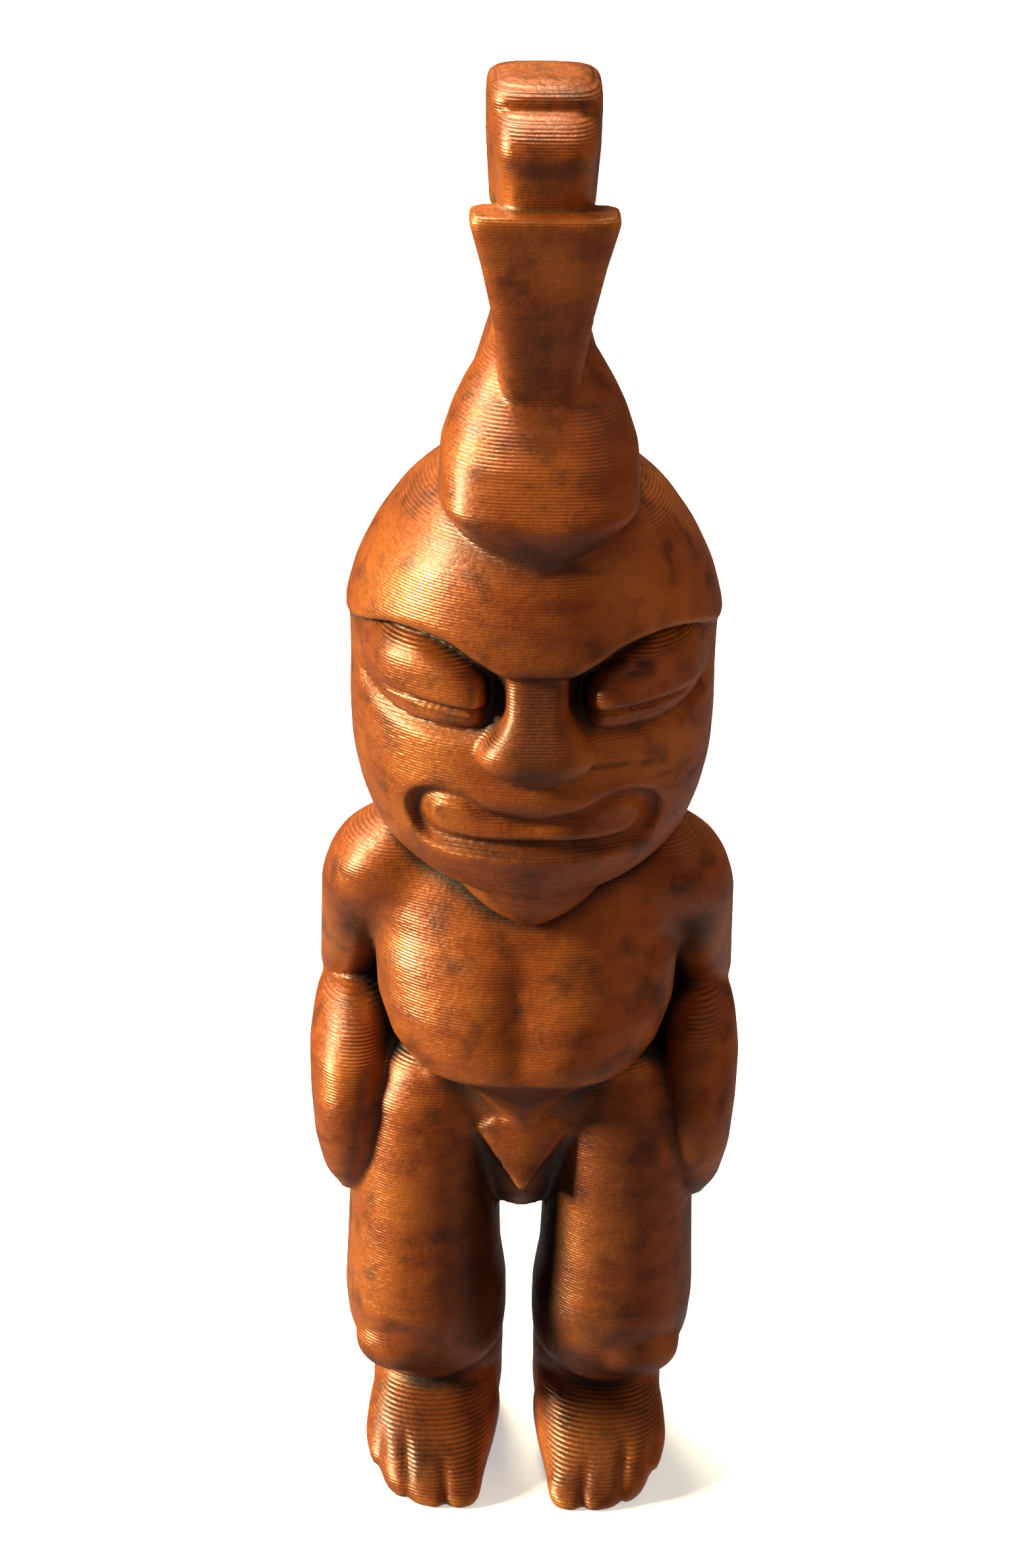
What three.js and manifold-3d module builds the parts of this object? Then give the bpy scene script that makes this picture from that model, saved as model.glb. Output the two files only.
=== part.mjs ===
// A small standing tiki figure, printed in one solid piece. It faces -Y and stands on its own feet at Z = 0,
// with the origin on the ground under the middle of its overall box. All sizes are in millimetres.
//
// The figure is carved from lofts, smooth skins over squared-off ovals. The tables give the ovals in parts of
// the figure's height, by a canon of 114 parts from the soles to the top of the crest.

import * as THREE from "three";
import { mergeVertices } from "three/addons/utils/BufferGeometryUtils.js";
import Module from "manifold-3d";

const wasm = await Module();
wasm.setup();

// Driving dimensions
const HEIGHT = 114; // soles to the top of the crest
const BROW_OVERHANG = 1.5; // how far the forehead stands out over the eyes
const LID_GROOVE_WIDTH = 0.7; // the groove between the upper and the lower lid
const LID_GROOVE_DEPTH = 0.6;
const MOUTH_GROOVE_DEPTH = 1.3; // the groove round the inner lip
const LIP_RECESS = 0.3; // how far the inner lip lies under the face
const TOE_GROOVE_WIDTH = 0.9; // the grooves that part the toes
const TOE_GROOVE_DEPTH = 0.8;

const PARTS = 114;
const PART = HEIGHT / PARTS;

// The columns of an upright loft are height, centre x, half width, front y, back y and squareness. Squareness
// 2 is an ellipse, and 5 is nearly a rectangle with round corners.
const HEAD = [
  [52.8, 0, 3.4, -10.2, 3.0, 2.0],
  [53.4, 0, 7.0, -11.7, 5.2, 2.0],
  [55.0, 0, 9.9, -12.7, 7.4, 2.1],
  [57.2, 0, 11.8, -13.3, 9.2, 2.2],
  [59.7, 0, 12.9, -13.7, 10.6, 2.2],
  [62.5, 0, 13.6, -13.9, 11.8, 2.2],
  [66.0, 0, 13.9, -13.7, 12.6, 2.2],
  [70.0, 0, 14.2, -13.2, 13.0, 2.2],
  [73.4, 0, 14.1, -12.9, 13.0, 2.2],
  [76.5, 0, 13.3, -12.6, 12.6, 2.1],
  [79.5, 0, 11.9, -12.0, 11.6, 2.1],
  [82.5, 0, 9.8, -10.6, 10.2, 2.1],
  [85.0, 0, 6.8, -8.0, 8.0, 2.0],
  [86.8, 0, 2.8, -3.6, 4.4, 2.0],
];
const CAP = [
  [80.6, 0, 1.4, -12.4, -1.0, 2.2],
  [82.2, 0, 3.6, -13.0, -0.5, 2.5],
  [84.8, 0, 6.7, -13.9, 0.2, 2.9],
  [86.2, 0, 7.4, -13.8, 0.8, 2.8],
  [87.8, 0, 7.3, -13.1, 1.2, 2.6],
  [90.0, 0, 6.8, -11.3, 2.0, 2.4],
  [92.2, 0, 6.0, -9.0, 2.4, 2.2],
  [94.2, 0, 5.0, -7.2, 2.6, 2.1],
  [95.6, 0, 3.2, -5.4, 2.4, 2.0],
];
const FIN = [
  [78.0, 0, 7.4, -6.0, 12.0, 2.0],
  [83.0, 0, 7.2, -5.0, 12.5, 2.0],
  [87.0, 0, 6.2, -4.0, 12.0, 2.0],
  [91.0, 0, 4.9, -4.0, 10.6, 2.1],
  [95.0, 0, 3.8, -4.5, 9.2, 2.4],
  [99.0, 0, 3.6, -5.0, 8.4, 2.8],
  [103.0, 0, 3.6, -5.5, 7.8, 3.0],
  [106.5, 0, 3.6, -5.5, 6.6, 3.0],
];
const FLARE = [
  [90.0, 0, 2.4, -7.4, -2.0, 4.0],
  [91.7, 0, 2.7, -7.8, -2.4, 4.4],
  [95.0, 0, 3.2, -8.0, -3.0, 5.0],
  [98.4, 0, 3.8, -8.4, -3.6, 5.0],
  [102.0, 0, 4.7, -8.8, -4.2, 5.0],
  [105.2, 0, 5.45, -9.0, -4.8, 5.0],
  [105.7, 0, 5.3, -8.8, -5.0, 5.0],
];
const LOWER_STEP = [
  [104.5, 0, 3.5, -6.9, 5.8, 3.0],
  [107.0, 0, 3.8, -7.2, 6.2, 3.2],
  [109.3, 0, 4.2, -7.4, 6.2, 3.4],
  [110.8, 0, 4.2, -6.9, 6.0, 3.4],
  [111.8, 0, 4.0, -5.6, 5.4, 3.2],
  [112.4, 0, 3.4, -4.0, 4.6, 3.0],
];
const UPPER_STEP = [
  [109.0, 0, 4.0, -4.4, 5.6, 3.8],
  [111.9, 0, 4.2, -4.7, 5.8, 3.8],
  [113.0, 0, 4.1, -4.4, 5.4, 3.6],
  [113.7, 0, 3.5, -3.4, 4.4, 3.2],
  [114.0, 0, 2.4, -1.8, 2.6, 3.0],
];
const NOSE = [
  [64.1, 0, 1.8, -14.6, -10.0, 2.2],
  [64.9, 0, 3.6, -15.8, -10.0, 2.4],
  [65.9, 0, 4.5, -16.3, -10.0, 2.5],
  [66.9, 0, 4.2, -16.3, -10.0, 2.6],
  [68.2, 0, 3.0, -15.8, -10.0, 2.8],
  [70.0, 0, 2.1, -15.0, -10.0, 2.8],
  [72.2, 0, 2.2, -14.6, -10.0, 2.6],
  [75.0, 0, 2.8, -14.0, -10.0, 2.4],
];
const THROAT = [
  [46.0, 0, 3.6, -7.8, 4.0, 2.0],
  [49.6, 0, 4.0, -9.0, 5.6, 2.0],
  [51.6, 0, 5.4, -10.2, 6.8, 2.0],
  [56.0, 0, 7.6, -10.8, 8.0, 2.0],
];
const BELLY = [
  [31.2, 0, 1.4, -7.0, 1.0, 2.0],
  [32.8, 0, 3.0, -8.0, 3.4, 2.2],
  [35.0, 0, 6.0, -9.8, 5.6, 2.3],
  [37.2, 0, 9.2, -11.6, 7.0, 2.4],
  [39.2, 0, 10.9, -12.2, 7.6, 2.4],
  [42.0, 0, 11.6, -11.7, 7.8, 2.4],
  [45.6, 0, 11.8, -10.3, 7.8, 2.4],
  [49.0, 0, 11.2, -8.9, 7.6, 2.3],
  [52.4, 0, 9.6, -6.8, 6.9, 2.2],
  [55.0, 0, 6.0, -4.6, 5.6, 2.0],
];
const SHOULDERS = [
  [45.5, 0, 8.4, -5.6, 5.0, 2.2],
  [48.6, 0, 12.0, -7.0, 6.0, 2.4],
  [51.6, 0, 13.2, -6.8, 6.2, 2.4],
  [54.0, 0, 12.0, -5.6, 5.4, 2.2],
  [55.6, 0, 9.6, -4.2, 4.6, 2.1],
  [56.6, 0, 6.4, -3.0, 3.6, 2.0],
];
const HIPS = [
  [22.8, 0, 2.4, -3.2, 3.0, 2.0],
  [24.2, 0, 4.0, -5.0, 5.0, 2.0],
  [27.5, 0, 6.4, -6.2, 7.4, 2.2],
  [32.0, 0, 8.2, -7.0, 7.6, 2.2],
  [36.0, 0, 9.0, -7.2, 7.4, 2.2],
  [40.0, 0, 9.4, -7.0, 7.2, 2.2],
];
// The limbs are on the figure's left, at +X, and are mirrored
const UPPER_ARM = [
  [38.4, 13.3, 2.6, 3.0, 9.0, 2.0],
  [39.8, 13.2, 3.1, 2.0, 9.2, 2.0],
  [42.6, 13.0, 3.2, 0.0, 8.6, 2.1],
  [46.0, 12.6, 3.5, -2.4, 7.4, 2.1],
  [50.0, 12.1, 3.9, -4.7, 6.0, 2.1],
  [52.6, 11.4, 3.8, -5.2, 5.2, 2.1],
  [54.4, 10.4, 3.4, -4.4, 4.4, 2.0],
  [55.6, 9.4, 1.8, -2.4, 2.8, 2.0],
];
const FOREARM = [
  [24.7, 13.2, 1.0, -4.8, -2.6, 2.0],
  [26.2, 13.4, 2.1, -5.9, -0.4, 2.0],
  [29.0, 13.5, 2.8, -6.9, 2.0, 2.1],
  [32.5, 13.5, 3.2, -7.0, 4.4, 2.2],
  [35.6, 13.4, 3.5, -6.0, 7.0, 2.2],
  [38.0, 13.3, 3.3, -3.8, 8.6, 2.1],
  [39.4, 13.2, 2.9, -1.0, 8.8, 2.0],
  [40.2, 13.1, 1.4, 2.2, 7.4, 2.0],
];
const THIGH = [
  [8.3, 7.3, 3.2, -6.0, 3.0, 2.1],
  [9.0, 7.5, 4.9, -8.0, 5.4, 2.2],
  [10.6, 7.7, 5.8, -9.2, 6.8, 2.3],
  [13.6, 7.8, 6.1, -9.7, 7.2, 2.4],
  [18.0, 7.75, 6.0, -9.2, 7.6, 2.4],
  [24.0, 7.7, 6.0, -8.6, 8.8, 2.4],
  [29.0, 7.6, 6.0, -8.1, 9.1, 2.3],
  [33.0, 7.4, 5.8, -7.4, 8.0, 2.2],
  [36.0, 7.0, 4.4, -6.2, 6.0, 2.1],
  [37.4, 6.8, 2.4, -4.6, 4.0, 2.0],
];
const ANKLE = [
  [2.0, 6.5, 4.6, -1.0, 8.2, 2.2],
  [5.0, 6.5, 4.9, -2.6, 8.2, 2.2],
  [8.0, 6.7, 5.0, -4.0, 7.4, 2.2],
  [11.0, 7.0, 5.2, -5.0, 6.8, 2.2],
];
// The foot's ovals stand upright, one behind another: y, centre x, half width, bottom z, top z and squareness
const FOOT = [
  [-12.3, 6.4, 2.5, -0.4, 0.9, 2.4],
  [-11.2, 6.7, 4.0, -0.5, 2.0, 2.6],
  [-8.5, 7.2, 5.0, -0.5, 3.6, 2.6],
  [-5.0, 6.9, 5.35, -0.5, 5.6, 2.4],
  [-2.0, 6.6, 5.3, -0.5, 7.6, 2.3],
  [2.0, 6.5, 4.9, -0.5, 8.4, 2.3],
  [6.0, 6.4, 4.3, -0.5, 7.2, 2.3],
  [8.6, 6.4, 3.2, -0.5, 5.2, 2.2],
  [9.7, 6.4, 1.6, -0.4, 3.2, 2.0],
];
// The instep's height at the toes' tips, where those are, and its slope in degrees
const INSTEP_AT_TOES = 2.0;
const TOES_AT = -12.0;
const INSTEP_SLOPE = 32;
// The grooves between the four toes: x at the tip, y at the tip and length along the foot
const TOE_GROOVES = [
  [6.1, -12.0, 5.0],
  [8.6, -11.4, 6.4],
  [10.6, -9.8, 7.0],
];

// Outlines on the front of the head, from the middle out: x and z
const BROW_EDGE = [
  [0, 72.3],
  [2.5, 72.4],
  [5.0, 73.2],
  [8.6, 74.2],
  [11.4, 73.5],
  [14.6, 70.0],
];
const MOUTH = [
  [0, 60.5],
  [3.0, 61.1],
  [5.2, 62.0],
  [7.4, 62.0],
  [9.2, 60.1],
  [8.1, 57.6],
  [4.4, 57.1],
  [0, 57.3],
];
const INNER_LIP = [
  [0, 59.7],
  [3.0, 60.2],
  [5.2, 61.1],
  [7.0, 61.1],
  [8.1, 59.9],
  [7.2, 58.4],
  [4.0, 58.1],
  [0, 58.3],
];
// The prisms that carve the face run between these two depths
const FACE = [-20, -4];
// The three-sided plate between the thighs, and the groin that it stands on
const PLATE = [
  [0, 32.3],
  [5.0, 32.3],
  [0, 26.6],
];
const GROIN = [
  [0, 37],
  [8, 37],
  [0, 28],
];

// A loft through a table's ovals, closed on a point at both ends. Upright lofts climb Z, and the others run
// along Y. `grow` moves the skin out by so many millimetres, `overhang` moves only its front, and a `side` of
// -1 mirrors it.
function loft(table, { around = 24, steps = 1, grow = 0, overhang = 0, upright = true, side = 1 } = {}) {
  const stations = table.map((row) => row[0]);
  const ovals = table.flatMap((row) => row.slice(1));
  const shape = new THREE.CubicInterpolant(stations, ovals, 5, new Float32Array(5));
  const levels = stations.slice(0, -1).flatMap((from, row) => {
    const length = stations[row + 1] - from;
    return Array.from({ length: steps }, (_, step) => from + (length * step) / steps);
  });
  levels.push(stations[stations.length - 1]);
  const positions = [];
  const put = (x, across, level) => {
    const [y, z] = upright ? [across, level] : [level, across];
    positions.push(side * x, y, z);
  };
  const rounded = (value, squareness) => Math.sign(value) * Math.abs(value) ** (2 / squareness);
  const middles = levels.map((level) => {
    const [x, halfWidth, near, far, squareness] = shape.evaluate(level);
    const reach = (far - near) / 2;
    for (let i = 0; i < around; i += 1) {
      const angle = (2 * Math.PI * i) / around;
      const across = rounded(Math.sin(angle), squareness);
      put(
        (x + halfWidth * rounded(Math.cos(angle), squareness)) * PART + grow * Math.cos(angle),
        (near + reach * (1 + across)) * PART + grow * Math.sin(angle) + overhang * Math.min(across, 0),
        level * PART,
      );
    }
    return [x * PART, (near + reach) * PART, level * PART];
  });
  put(...middles[0]);
  put(...middles[middles.length - 1]);
  const last = (levels.length - 1) * around;
  const index = [];
  const outwards = upright === side > 0;
  const triangle = (a, b, c) => index.push(...(outwards ? [a, b, c] : [a, c, b]));
  for (let i = 0; i < around; i += 1) {
    const next = (i + 1) % around;
    triangle(last + around, next, i);
    triangle(last + around + 1, last + i, last + next);
    for (let ring = 0; ring < last; ring += around) {
      triangle(ring + i, ring + next, ring + around + next);
      triangle(ring + i, ring + around + next, ring + around + i);
    }
  }
  const geometry = new THREE.BufferGeometry();
  geometry.setAttribute("position", new THREE.Float32BufferAttribute(positions, 3));
  return geometry.setIndex(index);
}

// A closed geometry as a solid that can be joined and cut
function solid(geometry) {
  const bare = geometry.clone();
  bare.deleteAttribute("normal");
  bare.deleteAttribute("uv");
  const merged = mergeVertices(bare, 1e-4);
  return new wasm.Manifold(
    new wasm.Mesh({
      numProp: 3,
      vertProperties: merged.attributes.position.array,
      triVerts: new Uint32Array(merged.index.array),
    }),
  );
}

const inMillimetres = (parts) => parts.map((part) => part * PART);
const union = (solids) => solids.reduce((whole, piece) => whole.add(piece));
const both = (make) => union([make(1), make(-1)]);

// An ellipsoid with its radii along x, y and z, then tilted about x and turned about z, in degrees
function ellipsoid(radii, centre, { tilt = 0, turn = 0, across = 16, down = 8 } = {}) {
  const euler = new THREE.Euler(THREE.MathUtils.degToRad(tilt), 0, THREE.MathUtils.degToRad(turn), "ZYX");
  const place = new THREE.Matrix4().compose(
    new THREE.Vector3(...centre),
    new THREE.Quaternion().setFromEuler(euler),
    new THREE.Vector3(...radii),
  );
  return solid(new THREE.SphereGeometry(1, across, down).rotateX(Math.PI / 2).applyMatrix4(place));
}

const spline = (points, steps = 2) =>
  new THREE.SplineCurve(points.map((point) => new THREE.Vector2(...point)))
    .getPoints(steps * (points.length - 1))
    .map(({ x, y }) => [x, y]);

// A prism from one y to another through an outline on the XZ plane, given by its right half
function prism(half, front, back) {
  const left = half.slice(1, -1).map(([x, z]) => [-x, z]);
  const outline = [...half, ...left.reverse()].map(([x, z]) => new THREE.Vector2(x * PART, z * PART));
  const geometry = new THREE.ExtrudeGeometry(new THREE.Shape(outline), {
    depth: (back - front) * PART,
    bevelEnabled: false,
  });
  return solid(geometry.rotateX(Math.PI / 2).translate(0, back * PART, 0));
}

const box = (size, centre) => solid(new THREE.BoxGeometry(...size).translate(...centre));

// The crest: a cap with a visor, a fin up the back and three tiers, of which the lowest flares upwards
function crest() {
  const lofts = [
    loft(CAP),
    loft(FIN, { around: 20 }),
    loft(FLARE),
    loft(LOWER_STEP),
    loft(UPPER_STEP),
  ];
  return union(lofts.map(solid));
}

// The forehead is the head's own skin moved forwards, and it ends at the brow
function forehead() {
  const skin = solid(loft(HEAD, { around: 32, overhang: BROW_OVERHANG }));
  const under = [...spline(BROW_EDGE), [20, 68], [20, 50], [0, 50]];
  return skin.subtract(prism(under, FACE[0], -FACE[0]));
}

function eye(side) {
  const centre = inMillimetres([side * 8.0, -9.5, 70.7]);
  const radii = inMillimetres([5.8, 2.7, 3.3]);
  const turned = { turn: side * 35 };
  const groove = box([4 * radii[0], 4 * radii[0], LID_GROOVE_WIDTH], [centre[0], centre[1], 69.3 * PART]);
  const ball = ellipsoid(radii.map((radius) => radius - LID_GROOVE_DEPTH), centre, turned);
  return ellipsoid(radii, centre, turned).subtract(groove).add(ball);
}

// The mouth is a groove cut round an inner lip
function mouth(face) {
  const floor = solid(loft(HEAD, { around: 32, grow: -MOUTH_GROOVE_DEPTH }));
  const underSkin = solid(loft(HEAD, { around: 32, grow: -LIP_RECESS }));
  const lip = underSkin.intersect(prism(spline(INNER_LIP), ...FACE));
  return face.subtract(prism(spline(MOUTH), ...FACE).subtract(floor)).add(lip);
}

function head() {
  const face = mouth(solid(loft(HEAD, { around: 32 })));
  return union([face, forehead(), both(eye), solid(loft(NOSE, { around: 20 })), crest()]);
}

// A furrow down the middle parts the chest into two swells
function furrowed(geometry) {
  const depth = 1.1 * PART;
  const halfWidth = 2.2 * PART;
  const middle = 42.5 * PART;
  const halfHeight = 4.6 * PART;
  const position = geometry.getAttribute("position");
  for (let i = 0; i < position.count; i += 1) {
    const across = position.getX(i) / halfWidth;
    const along = (position.getZ(i) - middle) / halfHeight;
    const dent = depth * Math.exp(-(across ** 2) - along ** 2);
    if (position.getY(i) < 0) position.setY(i, position.getY(i) + dent);
  }
  return geometry;
}

function trunk() {
  const chest = furrowed(loft(BELLY, { around: 28 }));
  const lofts = [chest, ...[THROAT, SHOULDERS, HIPS].map((table) => loft(table, { around: 20 }))];
  return union([...lofts.map(solid), prism(PLATE, -8.5, -3), prism(GROIN, -8.0, -3)]);
}

function arm(side) {
  return solid(loft(UPPER_ARM, { around: 20, side })).add(solid(loft(FOREARM, { around: 20, side })));
}

function foot(side) {
  const whole = solid(loft(FOOT, { upright: false, side }));
  const ground = box([40 * PART, 60 * PART, 10 * PART], [0, 0, -5 * PART]);
  const grooves = TOE_GROOVES.map(([x, tip, length]) => {
    const radii = [TOE_GROOVE_WIDTH / 2, (length / 2) * PART, TOE_GROOVE_DEPTH];
    const y = tip + length / 3;
    const z = INSTEP_AT_TOES + (y - TOES_AT) * Math.tan(THREE.MathUtils.degToRad(INSTEP_SLOPE));
    const centre = [side * x * PART, y * PART, z * PART];
    return ellipsoid(radii, centre, { tilt: INSTEP_SLOPE, across: 10, down: 6 });
  });
  return whole.subtract(ground).subtract(union(grooves));
}

function leg(side) {
  const lofts = [loft(THIGH, { side }), loft(ANKLE, { around: 20, side })];
  const kneecap = ellipsoid(inMillimetres([4.0, 2.4, 2.9]), inMillimetres([side * 9.2, -8.0, 12.9]));
  return union([...lofts.map(solid), kneecap, foot(side)]);
}

// The joined figure, moved so that the middle of its overall box stands over the origin
function figure() {
  const carved = union([head(), trunk(), both(arm), both(leg)]).getMesh();
  const geometry = new THREE.BufferGeometry();
  geometry.setAttribute("position", new THREE.BufferAttribute(carved.vertProperties, 3));
  geometry.setIndex(new THREE.BufferAttribute(carved.triVerts, 1));
  geometry.computeBoundingBox();
  const { min, max } = geometry.boundingBox;
  const print = new THREE.MeshStandardMaterial({ color: 0x8f4a1c, roughness: 0.42, metalness: 0.25 });
  const mesh = new THREE.Mesh(geometry, print);
  mesh.name = "figure";
  mesh.position.set(-(min.x + max.x) / 2, -(min.y + max.y) / 2, -min.z);
  return mesh;
}

const tiki = new THREE.Group();
tiki.add(figure());

export default tiki;
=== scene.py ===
# %% [markdown]
# # A printed tiki figure
#
# The object is a small standing tiki figure from a desktop printer: one solid print in copper plastic with
# a silky shine, stained dark in its hollows. This lesson builds its finished surface over the CAD solid,
# lights it and frames it as the photograph does.

# %% Load the CAD solid
import math

import bpy
import numpy as np
from mathutils import Matrix, Quaternion, Vector


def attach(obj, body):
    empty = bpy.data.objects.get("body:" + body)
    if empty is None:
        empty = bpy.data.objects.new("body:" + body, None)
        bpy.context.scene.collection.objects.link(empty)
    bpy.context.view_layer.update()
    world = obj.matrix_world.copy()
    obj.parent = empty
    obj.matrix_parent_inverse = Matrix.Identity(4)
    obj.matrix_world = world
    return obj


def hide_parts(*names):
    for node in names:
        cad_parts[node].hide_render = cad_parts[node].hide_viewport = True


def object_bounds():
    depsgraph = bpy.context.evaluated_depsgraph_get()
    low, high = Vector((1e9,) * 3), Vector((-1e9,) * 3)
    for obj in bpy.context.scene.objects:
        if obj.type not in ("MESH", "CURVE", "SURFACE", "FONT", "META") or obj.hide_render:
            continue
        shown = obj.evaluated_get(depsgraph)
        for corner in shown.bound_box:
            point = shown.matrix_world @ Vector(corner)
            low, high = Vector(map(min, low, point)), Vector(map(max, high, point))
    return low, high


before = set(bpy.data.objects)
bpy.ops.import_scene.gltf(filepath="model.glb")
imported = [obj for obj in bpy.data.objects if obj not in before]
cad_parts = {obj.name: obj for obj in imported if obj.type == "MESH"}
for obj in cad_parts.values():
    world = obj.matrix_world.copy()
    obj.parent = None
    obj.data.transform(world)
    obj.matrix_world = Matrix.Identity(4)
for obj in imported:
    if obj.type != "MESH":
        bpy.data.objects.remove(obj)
CAD_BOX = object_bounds()
LOW, HIGH = CAD_BOX
CANON = 114  # the carver's canon: parts from the soles to the top of the crest
PART = (HIGH.z - LOW.z) / CANON
print(f"the solid is {1000 * (HIGH.z - LOW.z):.1f} mm tall, so one part is {1000 * PART:.2f} mm")

# %% [markdown]
# ## Fields instead of faces
#
# A sculpted form with soft creases is hard to model face by face. Here it is a field: a function that tells
# for each point in space how far it is from the surface, negative inside. Fields are easy to blend. The
# smooth minimum of two fields joins two volumes with a fillet, as a knife leaves them, and adding to a
# field moves its surface in, which makes grooves. The main volumes are lofts over squared-off ovals, with
# the solid's canon, in parts of its height.


# %% A block of space that measures fields
class Space:
    """A block of space on a grid, in parts: x to the figure's left, y to its back, z up."""

    def __init__(self, low, high, step):
        self.step = step
        self.axes = [np.arange(a, b + step, step, dtype=np.float32) for a, b in zip(low, high)]
        self.x = self.axes[0][:, None, None]
        self.y = self.axes[1][None, :, None]
        self.z = self.axes[2][None, None, :]

    def rows(self, table, levels, soft):
        """The ovals of a table at these levels, with the corners between its rows softened."""
        stations = [row[0] for row in table]
        shifts = [soft * k / 2 for k in (-2, -1, 0, 1, 2)]
        for column in range(1, 6):
            values = [row[column] for row in table]
            softened = np.mean([np.interp(levels + shift, stations, values) for shift in shifts], axis=0)
            yield softened.astype(np.float32)

    def loft(self, table, side=1, soft=0.8, grow=0.0, overhang=0.0):
        """An upright loft: height, centre x, half width, front y, back y and squareness in each row."""
        x, half, front, back, squareness = self.rows(table, self.axes[2], soft)
        half, front = half + grow, front - overhang
        inside = oval(self.x - side * x, self.y - (front + back) / 2, half, (back - front) / 2, squareness)
        return np.maximum(inside, np.maximum(table[0][0] - self.z, self.z - table[-1][0]))

    def lying_loft(self, table, side=1, soft=0.8):
        """A loft along y: y, centre x, half width, bottom z, top z and squareness. Its ends are rounded."""
        rows = self.rows(table, self.axes[1], soft)
        x, half, low, high, squareness = (value[None, :, None] for value in rows)
        inside = oval(self.x - side * x, self.z - (low + high) / 2, half, (high - low) / 2, squareness)
        return cut(inside, np.maximum(table[0][0] - self.y, self.y - table[-1][0]), soft)

    def ellipsoid(self, radii, centre, turn):
        """An ellipsoid, turned about z by these degrees."""
        turned = Matrix.Rotation(math.radians(turn), 3, "Z")
        from_centre = (self.x - centre[0], self.y - centre[1], self.z - centre[2])
        local = [sum(turned[i][j] * from_centre[i] for i in range(3)) for j in range(3)]
        size = np.sqrt(sum((value / radius) ** 2 for value, radius in zip(local, radii)))
        slope = np.sqrt(sum((value / radius**2) ** 2 for value, radius in zip(local, radii)))
        return (size - 1) * size / np.maximum(slope, 1e-4)

    def outline(self, points, mirrored=True):
        """How far each point is, seen from the front, from a closed outline: negative inside."""
        ring = np.array(points, np.float32)
        if mirrored:
            ring = np.concatenate([ring, ring[::-1] * (-1, 1)])
        x, z = self.axes[0][:, None], self.axes[2][None, :]
        inside = np.zeros((len(self.axes[0]), len(self.axes[2])), bool)
        for (ax, az), (bx, bz) in zip(ring, np.roll(ring, -1, axis=0)):
            if az != bz:
                inside ^= ((az > z) != (bz > z)) & (x < ax + (z - az) * (bx - ax) / (bz - az))
        away = self.line(np.concatenate([ring, ring[:1]]))[:, 0, :]
        return np.where(inside, -away, away)[:, None, :]

    def line(self, points):
        """How far each point is, seen from the front, from a line through these points."""
        x, z = self.axes[0][:, None], self.axes[2][None, :]
        nearest = np.full((len(self.axes[0]), len(self.axes[2])), 1e6, np.float32)
        for (ax, az), (bx, bz) in zip(points, points[1:]):
            ex, ez = bx - ax, bz - az
            t = np.clip(((x - ax) * ex + (z - az) * ez) / max(ex * ex + ez * ez, 1e-9), 0, 1)
            nearest = np.minimum(nearest, np.hypot(x - ax - t * ex, z - az - t * ez))
        return nearest[:, None, :]


small_block = Space((-1, -1, -1), (1, 1, 1), 0.5)
print("a block of two parts a side has", small_block.x.size, "points along x at a step of half a part")


# %% Ovals, blends and ramps
def oval(across, along, half, depth, squareness):
    """How far points are from a squared-off oval."""
    u = np.maximum(np.abs(across) / half, 1e-4)
    v = np.maximum(np.abs(along) / depth, 1e-4)
    total = u**squareness + v**squareness
    size = total ** (1 / squareness)
    steepness = np.hypot(u ** (squareness - 1) / half, v ** (squareness - 1) / depth)
    slope = total ** (1 / squareness - 1) * steepness
    return (size - 1) / np.maximum(slope, 0.5 / np.minimum(half, depth))


def joined(a, b, soft):
    """The smooth minimum of two fields: both volumes, with a fillet of about this size between them."""
    near = np.maximum(soft - np.abs(a - b), 0) / soft
    return np.minimum(a, b) - near * near * soft / 4


def cut(a, b, soft):
    """The smooth maximum: what two volumes share, with a rounded edge."""
    return -joined(-a, -b, soft)


def ramp(value, start, end):
    """0 before the start, 1 past the end, and smooth between them."""
    t = np.clip((value - start) / (end - start), 0, 1)
    return t * t * (3 - 2 * t)


def bell(value, width):
    """1 at zero, falling off to both sides over about this width."""
    return np.exp(-((value / width) ** 2))


def curve(points, steps=6):
    """A smooth curve through the points, as a longer list of points."""
    points = np.array(points, float)
    padded = np.concatenate([[2 * points[0] - points[1]], points, [2 * points[-1] - points[-2]]])
    made = []
    for p0, p1, p2, p3 in zip(padded, padded[1:], padded[2:], padded[3:]):
        for t in np.linspace(0, 1, steps, endpoint=False):
            bend = (2 * p0 - 5 * p1 + 4 * p2 - p3) * t**2 + (3 * p1 - p0 - 3 * p2 + p3) * t**3
            made.append(0.5 * (2 * p1 + (p2 - p0) * t + bend))
    return made + [points[-1]]


print("a curve through 3 points has", len(curve([(0, 0), (1, 1), (2, 0)])), "points")

# %% [markdown]
# ## The head
#
# The head is an egg with a heavy brow. It could be sculpted by hand with brushes, but outlines drawn on the
# front can be measured and changed one by one, so they carve it here. The forehead is the same egg moved
# forwards and cut off along the brow, so it overhangs the eyes and stands out at the temples. Inside the
# eye's outline the surface swells into a lid, and a slit and a second line under it are cut into the lid.
# The mouth is a groove round a thick inner lip. A bowl under the chin is the throat.

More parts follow.
